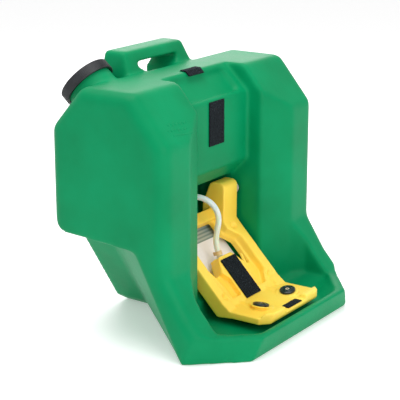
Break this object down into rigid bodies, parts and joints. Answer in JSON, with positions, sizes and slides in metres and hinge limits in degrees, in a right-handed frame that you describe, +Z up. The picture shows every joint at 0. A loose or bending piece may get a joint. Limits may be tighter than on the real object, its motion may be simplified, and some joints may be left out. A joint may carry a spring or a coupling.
{
  "type": "portable eyewash station",
  "caption": "Portable gravity-fed emergency eyewash station: green moulded tank with bowl, filler cap and handle, and a yellow nozzle arm that swings down to start the flow.",
  "frame": {"origin": "centre line of the foot, on the floor, under the tank's rear part", "axes": "+Z up, +Y to the back of the tank, +X to the right as seen from behind the bowl looking at the tank's back"},
  "size_m": [0.5, 0.4082, 0.495],
  "materials": {
    "tank_plastic": "satin moulded polyethylene, green",
    "arm_plastic": "moulded polyethylene, yellow",
    "cap_plastic": "ribbed black cap",
    "nozzle": "smooth black",
    "hook_and_loop": "black looped pile",
    "hose": "milky flexible tube",
    "clamp": "spring steel",
    "fitting": "white moulded nylon",
    "seal": "matt black rubber",
    "screen": "perforated stainless steel",
    "pin": "black acetal",
    "bush": "natural acetal",
    "label": "printed white film"
  },
  "bodies": {
    "tank": {"tank_shell": "tank_plastic", "pivot_bush_left": "bush", "pivot_bush_right": "bush", "outlet_fitting": "fitting", "outlet_gasket": "seal", "outlet_nut": "fitting", "outlet_screen": "screen", "hose_clamp_tank": "clamp", "feed_hose": "hose", "instruction_label": "label", "tank_front_pad": "hook_and_loop", "tank_top_pad": "hook_and_loop"},
    "arm": {"arm_shell": "arm_plastic", "pivot_pin_left": "pin", "pivot_pin_right": "pin", "nozzle_head_left": "nozzle", "nozzle_head_right": "nozzle", "nozzle_stem_left": "nozzle", "nozzle_stem_right": "nozzle", "inlet_fitting": "fitting", "hose_clamp_arm": "clamp", "arm_long_pad": "hook_and_loop", "arm_front_pad": "hook_and_loop"},
    "cap_lift": {"cap_gasket": "seal"},
    "cap": {"fill_cap": "cap_plastic", "cap_vent": "seal"}
  },
  "joints": [
    {"name": "arm_swing", "type": "hinge", "parent": "tank", "child": "arm", "pos_m": [0, -0.1108, 0.2164], "axis": [1, 0, 0], "range_deg": [-136.1, 0], "deforming": ["feed_hose"]},
    {"name": "cap_rise", "type": "slide", "parent": "tank", "child": "cap_lift", "axis": [0, 0.7532, 0.6578], "range_m": [0, 0.0091]},
    {"name": "cap_turn", "type": "hinge", "parent": "cap_lift", "child": "cap", "pos_m": [-0.157, 0.00886, 0.42725], "axis": [0, 0.7532, 0.6578], "range_deg": [0, 540]}
  ],
  "couplings": [
    {"joint": "cap_rise", "follows": "cap_turn", "m_per_rad": 0.00095493}
  ]
}
